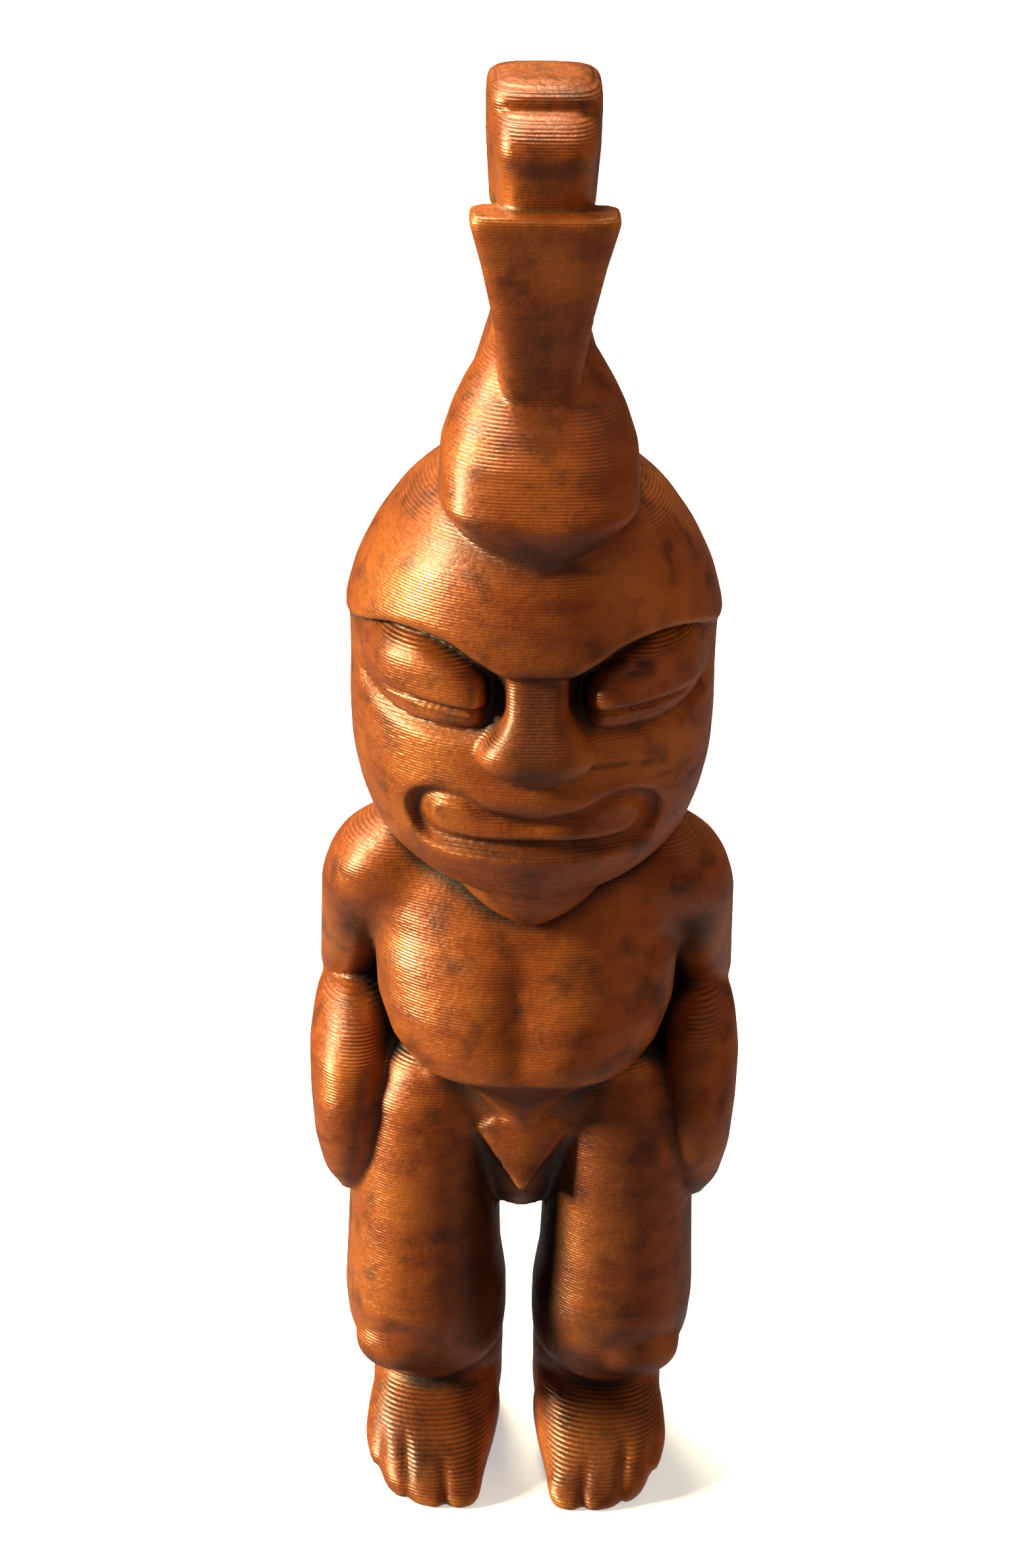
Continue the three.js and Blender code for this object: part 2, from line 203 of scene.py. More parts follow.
# %% Ovals of the head
HEAD = [
    (52.8, 0, 3.4, -10.2, 3.0, 2.0),
    (53.4, 0, 7.0, -11.7, 5.2, 2.0),
    (55.0, 0, 9.9, -12.7, 7.4, 2.1),
    (57.2, 0, 11.8, -13.3, 9.2, 2.2),
    (59.7, 0, 12.9, -13.7, 10.6, 2.2),
    (62.5, 0, 13.6, -13.9, 11.8, 2.2),
    (66.0, 0, 13.9, -13.7, 12.6, 2.2),
    (70.0, 0, 14.1, -13.2, 13.0, 2.2),
    (73.4, 0, 14.1, -12.9, 13.0, 2.2),
    (76.5, 0, 13.3, -12.6, 12.6, 2.1),
    (79.5, 0, 11.9, -12.0, 11.6, 2.1),
    (82.5, 0, 9.8, -10.6, 10.2, 2.1),
    (85.0, 0, 6.8, -8.0, 8.0, 2.0),
    (86.8, 0, 2.8, -3.6, 4.4, 2.0),
]
THROAT = [
    (50.4, 0, 2.6, -9.7, 4.0, 2.0),
    (51.1, 0, 4.5, -10.6, 5.6, 2.0),
    (52.2, 0, 5.7, -11.3, 6.0, 2.0),
    (53.6, 0, 6.6, -12.0, 6.8, 2.0),
    (55.4, 0, 7.4, -12.5, 7.4, 2.0),
    (58.0, 0, 7.6, -12.6, 8.0, 2.0),
]
NOSE = [
    (64.1, 0, 1.9, -14.7, -10.0, 2.2),
    (64.9, 0, 3.7, -15.8, -10.0, 2.5),
    (65.9, 0, 4.5, -16.3, -10.0, 2.6),
    (66.9, 0, 4.2, -16.2, -10.0, 2.8),
    (68.2, 0, 3.0, -15.6, -10.0, 3.4),
    (69.6, 0, 2.3, -14.9, -10.0, 4.0),
    (72.2, 0, 2.3, -13.7, -10.0, 4.0),
    (75.0, 0, 2.6, -13.0, -10.0, 3.0),
]
BROW_OVERHANG = 1.5
BROW_EDGE = [  # this outline and the next ones hold x and z, seen from the front
    (0, 72.3),
    (2.4, 72.4),
    (4.6, 73.5),
    (6.4, 74.5),
    (8.6, 75.0),
    (10.8, 74.8),
    (13.0, 73.7),
    (15.0, 71.8),
]
EYE = [
    (3.5, 69.3),
    (3.6, 71.4),
    (5.4, 73.1),
    (8.6, 74.4),
    (11.6, 74.0),
    (12.9, 72.2),
    (13.0, 69.9),
    (11.4, 68.6),
    (9.0, 67.9),
    (5.8, 67.7),
    (4.0, 68.1),
]
MOUTH = [
    (0, 60.8),
    (3.4, 61.5),
    (5.2, 62.4),
    (7.2, 62.7),
    (8.9, 61.8),
    (9.0, 60.0),
    (7.6, 58.4),
    (4.0, 58.1),
    (0, 58.2),
]
INNER_LIP = [
    (0, 60.2),
    (3.6, 61.0),
    (5.4, 61.9),
    (7.0, 62.0),
    (7.9, 61.1),
    (7.7, 59.9),
    (6.4, 59.1),
    (3.0, 58.9),
    (0, 59.0),
]
print("the eye's outline is", round(max(x for x, z in EYE) - min(x for x, z in EYE), 1), "parts long")

# %% Carve the eyes
LID_SWELL, LID_MARGIN = 1.45, 2.8  # how far the lids stand out, and the width over which they rise
SOCKET_DEPTH, SOCKET_WIDTH = 0.55, 0.7  # the groove round each eye
CORNER_DEPTH, CORNER_X, CORNER_Z = 0.9, 3.1, 71.0  # the hollow beside the root of the nose
SLIT_DEPTH, SLIT_WIDTH = 0.8, 0.28
LOWER_LID_STEP = 0.2  # how much deeper the lower lid lies than the upper one
LID_LINE_DEPTH, LID_LINE_WIDTH, LID_LINE_DROP = 0.34, 0.26, 0.72  # the second line, under the slit


def slit_height(x):
    """How high the slit between the lids runs."""
    return 69.35 + 0.088 * (np.abs(x) - 3.8)


def with_eyes(space, face, in_front):
    """The face with its sockets, its lids, the slits between them and the lines under those."""
    one_eye = curve(EYE)
    other_eye = [(-x, z) for x, z in one_eye]
    to_eye = np.minimum(space.outline(one_eye, False), space.outline(other_eye, False))
    corner = CORNER_DEPTH * bell(np.abs(space.x) - CORNER_X, 1.0) * bell(space.z - CORNER_Z, 1.5)
    face = face + in_front * (SOCKET_DEPTH * bell(to_eye, SOCKET_WIDTH) + corner)
    swell = (1 - np.clip(1 + to_eye / LID_MARGIN, 0, 1) ** 2) ** 0.55
    lids = face - LID_SWELL * swell * in_front
    above = space.z - slit_height(space.x)
    slit = SLIT_DEPTH * bell(above, SLIT_WIDTH) + LOWER_LID_STEP * ramp(-above, 0, 0.3)
    slit = slit + LID_LINE_DEPTH * bell(above + LID_LINE_DROP, LID_LINE_WIDTH)
    return lids + ramp(-to_eye, -0.1, 0.5) * in_front * slit


print(f"the slit climbs {slit_height(12) - slit_height(4):.1f} parts from the nose outwards")

# %% Carve the mouth
MOUTH_DEPTH, LIP_HEIGHT = 0.95, 0.88  # the groove, and the inner lip that stands in it
LIP_TUCK = 0.4  # how much deeper the inner lip lies at its upper middle
UPPER_LIP_SWELL, CHIN_SWELL = 0.45, 0.25  # over and under the mouth


def with_mouth(space, face, in_front):
    """The face with the mouth's groove and inner lip, and the swell over and under it."""
    groove = ramp(-space.outline(curve(MOUTH)), -0.7, 0.5)
    lip = ramp(-space.outline(curve(INNER_LIP)), -0.4, 0.5)
    tucked = LIP_TUCK * ramp(space.z, 59.4, 60.8) * bell(space.x, 6.0)
    face = face + in_front * groove * (MOUTH_DEPTH - lip * (LIP_HEIGHT - tucked))
    upper_lip = UPPER_LIP_SWELL * bell(space.x, 6.0) * bell(space.z - 62.4, 1.6)
    chin = CHIN_SWELL * bell(space.x, 7.5) * bell(space.z - 57.2, 1.0)
    return face - in_front * (upper_lip + chin)


print("the mouth is", 2 * max(x for x, z in MOUTH), "parts wide")

# %% Join the face, the brow, the nose and the throat
CARVED_FROM, CARVED_FULLY = 3, 6  # how far in front of the canon's axis the carving begins, and is deepest
EYE_LEVEL, EYE_LEVEL_HOLLOW = 70.0, 0.25  # the face is a little hollow all round at the eyes
FOREHEAD_GROW = 0.2  # how far the forehead stands out at the temples


def carved_face(space):
    in_front = ramp(-space.y, CARVED_FROM, CARVED_FULLY)
    face = space.loft(HEAD) + EYE_LEVEL_HOLLOW * bell(space.z - EYE_LEVEL, 3.6)
    return with_mouth(space, with_eyes(space, face, in_front), in_front)


def head_field(space):
    forehead = space.loft(HEAD, overhang=BROW_OVERHANG, grow=FOREHEAD_GROW)
    under_brow = space.outline(curve(BROW_EDGE) + [(20, 68), (20, 50), (0, 50)])
    forehead = cut(forehead, np.maximum(-under_brow, space.y - 6), 0.9)
    head = joined(carved_face(space), forehead, 0.35)
    head = joined(head, space.loft(NOSE, soft=0.4), 0.5)
    return joined(head, space.loft(THROAT, soft=0.3), 0.5)


print("the brow stands out by", BROW_OVERHANG, "parts and the nose by", round(HEAD[6][3] - NOSE[2][3], 1))

# %% [markdown]
# ## The crest
#
# A hood with a crisp front edge leans out over the forehead. On it stand a tier that flares upwards like a
# spout and two rounded blocks, the upper one set back, and a fin runs down the back. Boxes with bevels
# would be too stiff for tiers that lean and flare, so these are lofts too. The tiers meet in crisp ledges,
# so their rows are softened only a little and they join with small fillets.

# %% Ovals of the crest
HOOD = [
    (80.3, 0, 1.6, -13.1, -1.0, 2.0),
    (80.8, 0, 3.4, -13.3, -0.8, 2.2),
    (81.8, 0, 5.1, -13.5, -0.6, 2.5),
    (83.0, 0, 6.3, -13.8, -0.2, 3.0),
    (83.9, 0, 7.0, -14.0, 0.0, 3.4),
    (84.6, 0, 7.4, -13.8, 0.4, 3.6),
    (87.8, 0, 7.3, -12.1, 1.2, 3.0),
    (90.0, 0, 6.5, -10.0, 2.0, 2.6),
    (91.5, 0, 5.7, -8.0, 2.4, 2.3),
    (93.6, 0, 4.4, -6.4, 2.6, 2.1),
    (95.6, 0, 2.4, -5.0, 2.4, 2.0),
]
FIN = [
    (78.0, 0, 7.2, -6.0, 12.0, 2.0),
    (83.0, 0, 7.0, -5.0, 12.5, 2.0),
    (87.0, 0, 6.0, -4.0, 12.0, 2.0),
    (91.0, 0, 4.7, -4.0, 10.6, 2.1),
    (95.0, 0, 3.6, -4.5, 9.2, 2.4),
    (99.0, 0, 3.4, -5.0, 8.4, 2.8),
    (103.0, 0, 3.6, -5.5, 7.8, 3.0),
    (106.5, 0, 3.6, -5.5, 6.6, 3.0),
]
FLARE = [
    (90.6, 0, 2.5, -7.6, -2.0, 4.4),
    (91.4, 0, 2.7, -8.1, -2.4, 5.0),
    (95.0, 0, 3.2, -8.4, -3.0, 5.0),
    (98.4, 0, 3.8, -8.7, -3.6, 5.0),
    (102.0, 0, 4.6, -8.9, -4.2, 5.0),
    (105.3, 0, 5.5, -9.1, -4.8, 5.4),
    (105.9, 0, 5.4, -8.9, -4.8, 5.4),
]
LOWER_BLOCK = [
    (104.5, 0, 3.4, -7.0, 5.0, 3.8),
    (108.0, 0, 3.6, -7.3, 5.0, 4.2),
    (110.0, 0, 3.85, -7.5, 5.0, 4.4),
    (111.0, 0, 3.9, -7.1, 5.0, 4.2),
    (111.7, 0, 3.8, -6.3, 5.0, 3.8),
    (112.2, 0, 3.6, -5.2, 5.0, 3.4),
    (112.5, 0, 3.3, -3.6, 4.6, 3.0),
]
UPPER_BLOCK = [
    (104.5, 0, 3.9, -3.2, 5.8, 4.0),
    (109.0, 0, 4.2, -3.9, 6.2, 4.0),
    (112.0, 0, 4.25, -3.7, 6.2, 4.4),
    (113.1, 0, 4.2, -3.8, 6.0, 4.2),
    (113.6, 0, 4.0, -3.2, 5.4, 3.6),
    (113.9, 0, 3.4, -2.0, 4.4, 3.0),
    (114.0, 0, 2.4, -1.0, 3.4, 3.0),
]
print(f"the crest stands {UPPER_BLOCK[-1][0] - HOOD[0][0]:.1f} parts tall")


# %% Stack the tiers
def crest_field(space):
    crest = joined(space.loft(HOOD, soft=0.25), space.loft(FIN), 0.8)
    crest = joined(crest, space.loft(FLARE, soft=0.2), 0.45)
    blocks = joined(space.loft(LOWER_BLOCK, soft=0.2), space.loft(UPPER_BLOCK, soft=0.2), 0.1)
    return joined(crest, blocks, 0.3)


print("the crest has", sum(len(tier) for tier in (HOOD, FIN, FLARE, LOWER_BLOCK, UPPER_BLOCK)), "ovals")

# %% [markdown]
# ## The body and the arms
#
# The chest and belly are one round shield with a crisp lower edge that overhangs the hips, parted by a soft
# furrow. A small wedge with a ledge on top sits between the thighs. The arms hang straight, with a sharp
# crease at the elbow, and rest on the thighs. One blend for all of this would lose the crease or the soft
# shoulder, so each joint has its own: wide at the shoulders, and hardly any at the elbow and under the
# belly.

# %% Ovals of the trunk and the arms
BELLY = [
    (31.4, 0, 1.6, -7.2, 1.0, 2.0),
    (33.0, 0, 2.8, -8.0, 3.4, 2.2),
    (35.0, 0, 5.0, -9.3, 5.6, 2.3),
    (36.9, 0, 7.8, -11.1, 7.0, 2.5),
    (37.6, 0, 9.2, -12.1, 7.4, 2.5),
    (39.2, 0, 10.5, -12.2, 7.6, 2.4),
    (42.0, 0, 11.5, -11.7, 7.8, 2.4),
    (45.6, 0, 11.8, -10.3, 7.8, 2.4),
    (49.0, 0, 11.2, -8.9, 7.6, 2.3),
    (52.4, 0, 9.6, -6.8, 6.9, 2.2),
    (55.0, 0, 6.0, -4.6, 5.6, 2.0),
]
SHOULDERS = [
    (45.5, 0, 8.4, -5.6, 5.0, 2.2),
    (48.6, 0, 12.0, -7.0, 6.0, 2.4),
    (51.6, 0, 13.2, -6.8, 6.2, 2.4),
    (54.0, 0, 12.0, -5.6, 5.4, 2.2),
    (55.6, 0, 9.6, -4.2, 4.6, 2.1),
    (56.6, 0, 6.4, -3.0, 3.6, 2.0),
]
HIPS = [
    (22.8, 0, 2.4, -3.2, 3.0, 2.0),
    (24.2, 0, 4.0, -5.0, 5.0, 2.0),
    (27.5, 0, 6.4, -6.2, 7.4, 2.2),
    (32.0, 0, 8.2, -7.0, 7.6, 2.2),
    (36.0, 0, 9.0, -7.2, 7.4, 2.2),
    (40.0, 0, 9.4, -7.0, 7.2, 2.2),
]
UPPER_ARM = [
    (38.4, 13.3, 2.6, 3.0, 9.0, 2.0),
    (39.8, 13.2, 3.1, 2.0, 9.2, 2.0),
    (42.6, 13.0, 3.2, 0.0, 8.6, 2.1),
    (46.0, 12.6, 3.5, -2.4, 7.4, 2.1),
    (50.0, 12.1, 3.9, -4.7, 6.0, 2.1),
    (52.6, 11.4, 3.8, -5.2, 5.2, 2.1),
    (54.4, 10.4, 3.4, -4.4, 4.4, 2.0),
    (55.6, 9.4, 1.8, -2.4, 2.8, 2.0),
]
FOREARM = [
    (24.7, 13.2, 1.0, -4.8, -2.6, 2.0),
    (26.2, 13.4, 2.1, -5.9, -0.4, 2.0),
    (29.0, 13.5, 2.8, -6.9, 2.0, 2.1),
    (32.5, 13.5, 3.2, -7.0, 4.4, 2.2),
    (35.6, 13.4, 3.5, -6.0, 7.0, 2.2),
    (38.0, 13.3, 3.3, -3.8, 8.6, 2.1),
    (39.4, 13.2, 2.9, -1.0, 8.8, 2.0),
    (40.2, 13.1, 1.4, 2.2, 7.4, 2.0),
]
WEDGE = [(0, 32.4), (2.2, 32.4), (3.7, 31.5), (0, 26.4)]
GROIN = [(0, 37), (7.4, 36), (0, 25.8)]
CHEST_FURROW = [(-0.3, 47.4), (-0.2, 46.0), (-0.8, 44.0), (0.0, 41.3), (-0.3, 39.4)]
print("the arms reach", max(row[1] + row[2] for row in FOREARM), "parts out from the middle")

# %% Build the trunk and the arms
SOFT_FURROW, SHARP_FURROW = 0.75, 0.10  # how deep the wide furrow of the chest is, and the line in it
GROIN_FRONT, WEDGE_FRONT, WEDGE_BACK = -6.5, -7.9, -3
SHOULDER_BLEND = 2.2


def trunk_field(space):
    x, y, z = space.x, space.y, space.z
    furrow = SOFT_FURROW * bell(x, 2.4) * bell(z - 42.5, 4.6)
    furrow = furrow + SHARP_FURROW * bell(space.line(CHEST_FURROW), 0.8)
    shield = space.loft(BELLY, soft=0.2) + furrow * ramp(-y, CARVED_FROM, CARVED_FULLY)
    trunk = joined(joined(shield, space.loft(SHOULDERS), SHOULDER_BLEND), space.loft(HIPS), 0.4)
    groin = cut(space.outline(GROIN), np.maximum(GROIN_FRONT - y, y - WEDGE_BACK), 0.3)
    crown = 0.07 * x**2 + 0.12 * (z - 30)  # the wedge is highest in the middle and falls off to its sides
    wedge = cut(space.outline(WEDGE), np.maximum(crown + WEDGE_FRONT - y, y - WEDGE_BACK), 0.25)
    trunk = joined(joined(trunk, groin, 0.5), wedge, 0.4)
    for side in (1, -1):
        arm = joined(space.loft(UPPER_ARM, side), space.loft(FOREARM, side, soft=0.5), 0.25)
        trunk = joined(trunk, arm, 0.5 + 2.0 * ramp(z, 44, 50))
    return trunk


print("the trunk leans on", len(HIPS), "ovals of hips")

# %% [markdown]
# ## The legs and the feet
#
# The thighs are stout columns that turn under in a heavy knee over the instep, with a small kneecap on the
# outer side. The feet slope down to four toes, which are parted by short grooves. A foot changes from heel
# to toe and not from the sole up, so its loft lies along y, and the grooves follow straight lines that
# spread from the toes' tips.

# %% Ovals of the legs
THIGH = [
    (8.0, 7.0, 3.2, -5.4, 3.0, 2.0),
    (8.9, 7.0, 4.8, -6.9, 5.4, 2.0),
    (10.4, 7.1, 5.9, -8.0, 6.8, 2.1),
    (12.4, 7.3, 6.3, -8.9, 7.1, 2.2),
    (15.2, 7.45, 6.4, -9.7, 7.3, 2.3),
    (18.0, 7.65, 6.1, -9.4, 7.6, 2.4),
    (24.0, 7.7, 5.9, -8.6, 8.8, 2.4),
    (29.0, 7.6, 5.9, -8.1, 9.1, 2.3),
    (33.0, 7.4, 5.8, -7.4, 8.0, 2.2),
    (36.0, 7.0, 4.4, -6.2, 6.0, 2.1),
    (37.4, 6.8, 2.4, -4.6, 4.0, 2.0),
]
ANKLE = [
    (2.0, 6.4, 4.8, -1.0, 8.2, 2.2),
    (5.0, 6.4, 5.1, -2.6, 8.2, 2.2),
    (8.0, 6.5, 5.3, -4.0, 7.4, 2.2),
    (11.0, 6.8, 5.5, -5.0, 6.8, 2.2),
]
FOOT = [
    (-12.3, 5.1, 1.2, -0.4, 0.6, 2.2),
    (-12.0, 5.4, 2.3, -0.5, 1.3, 2.3),
    (-11.2, 6.0, 3.3, -0.5, 2.2, 2.4),
    (-9.8, 6.6, 4.0, -0.5, 3.1, 2.3),
    (-8.0, 6.9, 4.6, -0.5, 4.1, 2.2),
    (-5.0, 6.9, 5.2, -0.5, 5.7, 2.1),
    (-2.0, 6.6, 5.3, -0.5, 7.4, 2.2),
    (2.0, 6.5, 4.9, -0.5, 8.4, 2.2),
    (6.0, 6.4, 4.3, -0.5, 7.2, 2.3),
    (8.4, 6.4, 3.6, -0.5, 5.8, 2.2),
    (9.3, 6.4, 2.7, -0.4, 4.5, 2.1),
    (9.7, 6.4, 1.9, -0.2, 3.4, 2.0),
]
TOE_TIP = -12.3
# Each groove between toes has its x at the tips, and the x and y where it fades out
TOE_GROOVES = [(5.4, 5.8, -8.6), (8.3, 9.0, -6.4), (10.5, 11.1, -5.4)]
KNEECAP = (9.8, -6.9, 12.0)
KNEECAP_SIZE = (3.2, 2.1, 2.2)
print("a foot is", FOOT[-1][0] - FOOT[0][0], "parts long")

# %% Build the legs
TOE_GROOVE_DEPTH, TOE_GROOVE_WIDTH = 0.42, 0.4
KNEECAP_TURN = 28  # degrees outwards


def legs_field(space):
    x, y, z = space.x, space.y, space.z
    legs = []
    for side in (1, -1):
        foot = space.lying_loft(FOOT, side)
        for at_tip, at_end, end in TOE_GROOVES:
            along = (y - TOE_TIP) / (end - TOE_TIP)
            middle = side * (at_tip + (at_end - at_tip) * along)
            foot = foot + TOE_GROOVE_DEPTH * bell(x - middle, TOE_GROOVE_WIDTH) * ramp(end - y, 0, 3.2)
        leg = joined(foot, space.loft(ANKLE, side), 1.0)
        cap_centre = (side * KNEECAP[0], KNEECAP[1], KNEECAP[2])
        cap = space.ellipsoid(KNEECAP_SIZE, cap_centre, side * KNEECAP_TURN)
        thigh = joined(space.loft(THIGH, side, soft=0.5), cap, 0.9)
        legs.append(joined(leg, thigh, 0.4))
    return np.minimum(*legs)


def body_field(space):
    return np.maximum(joined(trunk_field(space), legs_field(space), 0.7), -space.z)


print("the soles are cut flat at the ground")

# %% [markdown]
# ## Seams, scratches and painted shade
#
# A print keeps small marks: a dark seam where a layer stuck badly, thin creases on the thighs and a burnt
# spot on one eyelid. Wide soft patches of painted shade lie on the nose, the low flare, under the hood,
# under the mouth and the belly, on the upper arms, the thighs, the knees and the insteps. Painted on an
# image they would be tied to one mesh. Here each is a line on the front with a half width, narrow for a
# scratch and wide for a patch of shade. The lines press a shallow groove into the field and leave an
# attribute on the mesh that the finish darkens.

# %% Marks on the head's front
HEAD_SCRATCHES = [  # points of the line, half width and darkness
    ([(4.9, 72.6), (5.6, 73.0), (6.3, 73.2)], 0.34, 1.0),
    ([(7.4, 73.0), (8.3, 72.9)], 0.34, 1.0),
    ([(6.7, 72.4), (8.5, 72.3)], 0.20, 1.0),
    ([(3.9, 65.1), (6.5, 65.1), (9.7, 64.6)], 0.10, 0.9),
    ([(7.6, 63.4), (10.2, 63.6), (12.0, 63.9)], 0.07, 0.6),
    ([(9.1, 62.4), (11.0, 62.3), (12.4, 62.7)], 0.08, 0.7),
    ([(6.1, 58.4), (8.3, 59.1), (9.9, 59.3), (11.2, 59.9)], 0.08, 0.7),
    ([(-12.0, 67.0), (-9.0, 66.2)], 0.06, 0.5),
    ([(-4.4, 98.2), (0.0, 98.4), (4.4, 98.1)], 0.06, 0.7),
]
# wide patches of painted shade: down the nose, on the low flare, under the hood and on the ledge under the
# mouth
HEAD_PAINTED_SHADE = [
    ([(0.0, 66.0), (0.0, 68.5), (0.0, 71.0)], 2.4, 0.6),
    ([(0.0, 90.8), (0.0, 93.0), (0.0, 96.6)], 2.6, 0.45),
    ([(-4.6, 82.4), (0.0, 81.2), (4.6, 82.4)], 1.5, 0.65),
    ([(-6.6, 58.2), (0.0, 57.9), (6.6, 58.2)], 0.5, 0.55),
]
print(len(HEAD_SCRATCHES), "scratches and", len(HEAD_PAINTED_SHADE), "painted_shade_patches on the head")

# %% Marks on the body's front
BODY_SCRATCHES = [
    ([(-12.4, 23.3), (-11.3, 21.7), (-9.4, 20.8), (-6.8, 20.3)], 0.10, 0.45),
    ([(-12.8, 16.9), (-10.8, 16.5), (-8.4, 16.4), (-5.8, 17.0)], 0.10, 0.5),
    ([(-12.4, 13.2), (-10.5, 14.1), (-8.3, 14.9)], 0.16, 0.6),
    ([(7.4, 14.2), (9.4, 14.9), (12.0, 13.6)], 0.16, 0.5),
    ([(-16.1, 36.9), (-14.5, 37.2), (-12.4, 37.7)], 0.09, 0.5),
    ([(-16.0, 35.6), (-14.5, 35.8), (-12.6, 36.2)], 0.07, 0.4),
    ([(-0.8, 44.6), (-0.6, 43.4), (-1.6, 42.0)], 0.22, 0.6),
    ([(-6.2, 47.2), (-5.2, 46.4)], 0.30, 0.5),
    ([(12.0, 42.6), (12.9, 42.7)], 0.12, 0.9),
]
# wide patches of painted shade: on the thighs, under the belly, on the upper arms, under the knees and on
# the insteps
BODY_PAINTED_SHADE = [
    ([(-3.2, 13.0), (-3.4, 20.0), (-2.8, 28.0)], 2.3, 0.85),
    ([(7.8, 13.0), (7.8, 22.0), (7.4, 32.0)], 5.0, 0.35),
    ([(-4.5, 36.4), (0.0, 35.4), (4.5, 36.4)], 1.3, 0.45),
    ([(-13.2, 43.5), (-13.2, 47.0)], 2.0, 0.5),
    ([(13.2, 43.5), (13.2, 47.5)], 2.2, 0.65),
    ([(13.6, 12.0), (13.8, 20.0), (13.8, 26.0)], 1.8, 0.4),
    ([(2.2, 13.0), (2.4, 20.0), (2.2, 28.0)], 1.7, 0.85),
    ([(-9.0, 10.4), (-6.0, 10.6), (-4.0, 11.4)], 1.9, 0.5),
    ([(4.0, 11.4), (6.5, 10.6), (10.0, 10.6)], 2.1, 0.55),
    ([(-7.4, 2.6), (-7.0, 5.0), (-6.8, 7.4)], 2.4, 0.35),
    ([(6.4, 2.6), (6.6, 5.0), (6.8, 7.4)], 3.0, 0.5),
]
print(len(BODY_SCRATCHES), "scratches and", len(BODY_PAINTED_SHADE), "painted_shade_patches on the body")

# %% Press the marks in
MARK_DEPTH = 0.1


def marked(space, field, marks):
    """The field with its marks pressed in, and how dark they are at each point."""
    dark = 0
    front = ramp(-space.y, 0, 2)
    for points, half_width, darkness in marks:
        # a scratch's darkness is its own, and a wide patch's darkness is painted shade
        dark = np.maximum(dark, darkness * bell(space.line(curve(points)), half_width) * front)
    return field + MARK_DEPTH * dark, dark


print(f"the deepest mark goes in by {1000 * MARK_DEPTH * PART:.2f} mm")

# %% [markdown]
# ## From fields to meshes
#
# A surface net turns a field into faces: each grid cell that the surface crosses gets one vertex, in the
# middle of the crossings on its edges, and each crossed edge gets one face between its four cells. Unlike a
# remesh of boxes, it puts the vertices on the true surface. The head gets the finer grid, because its eyes
# and mouth need it.

# %% The surface net
CORNERS = [(i, j, k) for i in (0, 1) for j in (0, 1) for k in (0, 1)]
EDGES = [(a, b) for a in CORNERS for b in CORNERS if a < b and sum(abs(p - q) for p, q in zip(a, b)) == 1]
print("a cell has", len(CORNERS), "corners and", len(EDGES), "edges")


def surface_net(field):
    """The vertices, in grid steps, and the four-sided faces of a field's zero surface."""
    inside = field < 0
    shape = tuple(n - 1 for n in field.shape)
    blocks = [tuple(slice(a, a + n) for a, n in zip(at, shape)) for at in CORNERS]
    count = sum(inside[block].astype(np.uint8) for block in blocks)
    cells = np.argwhere((count > 0) & (count < 8))
    number = np.full(shape, -1, np.int32)
    number[tuple(cells.T)] = np.arange(len(cells))
    total = np.zeros((len(cells), 3))
    hits = np.zeros(len(cells))
    for a, b in EDGES:
        from_a = field[tuple((cells + a).T)]
        to_b = field[tuple((cells + b).T)]
        crossed = (from_a < 0) != (to_b < 0)
        t = np.where(crossed, from_a / np.where(crossed, from_a - to_b, 1), 0)
        total += crossed[:, None] * (np.array(a) + t[:, None] * (np.array(b) - np.array(a)))
        hits += crossed
    unit = np.eye(3, dtype=int)
    faces = []
    for axis in range(3):
        step, u, v = unit[axis], unit[(axis + 1) % 3], unit[(axis + 2) % 3]
        first = inside[tuple(slice(0, n - s) for n, s in zip(field.shape, step))]
        second = inside[tuple(slice(s, n) for n, s in zip(field.shape, step))]
        for leaving in (True, False):
            edges = np.argwhere(first & ~second if leaving else ~first & second)
            ring = [edges - u - v, edges - v, edges, edges - u]
            quads = np.stack([number[tuple(cell.T)] for cell in ring], axis=1)
            faces.append(quads if leaving else quads[:, ::-1])
    return cells + total / hits[:, None], np.concatenate(faces)


def sampled(grid, at):
    """A grid's values at points given in grid steps."""
    base = np.clip(np.floor(at).astype(int), 0, np.array(grid.shape) - 2)
    part = at - base
    weights = [np.prod(np.where(corner, part, 1 - part), axis=1) for corner in CORNERS]
    return sum(weight * grid[tuple((base + corner).T)] for weight, corner in zip(weights, CORNERS))


# %% The head's and the body's surfaces
TURN = math.radians(1.8)  # the head is turned a little to its left
HEAD_BLOCK, HEAD_STEP = ((-15.2, -17.4, 49.4), (15.2, 14.0, 115)), 0.262
BODY_BLOCK, BODY_STEP = ((-17.8, -13.4, -1), (17.8, 10.6, 57.4)), 0.31
CREST_BLEND = 0.5


def netted(space, field, marks):
    """A field's surface: its points in parts, its faces, and how dark its marks are at each point."""
    field, dark = marked(space, field, marks)
    vertices, faces = surface_net(field)
    points = np.array([axis[0] for axis in space.axes]) + space.step * vertices
    print(len(points), "vertices and", 2 * len(faces), "triangles")
    return points, faces, sampled(np.broadcast_to(dark, field.shape), vertices)


def crested_head(space):
    return joined(head_field(space), crest_field(space), CREST_BLEND)


head_space = Space(*HEAD_BLOCK, HEAD_STEP)
head_surface = netted(head_space, crested_head(head_space), HEAD_SCRATCHES + HEAD_PAINTED_SHADE)
body_space = Space(*BODY_BLOCK, BODY_STEP)
body_surface = netted(body_space, body_field(body_space), BODY_SCRATCHES + BODY_PAINTED_SHADE)

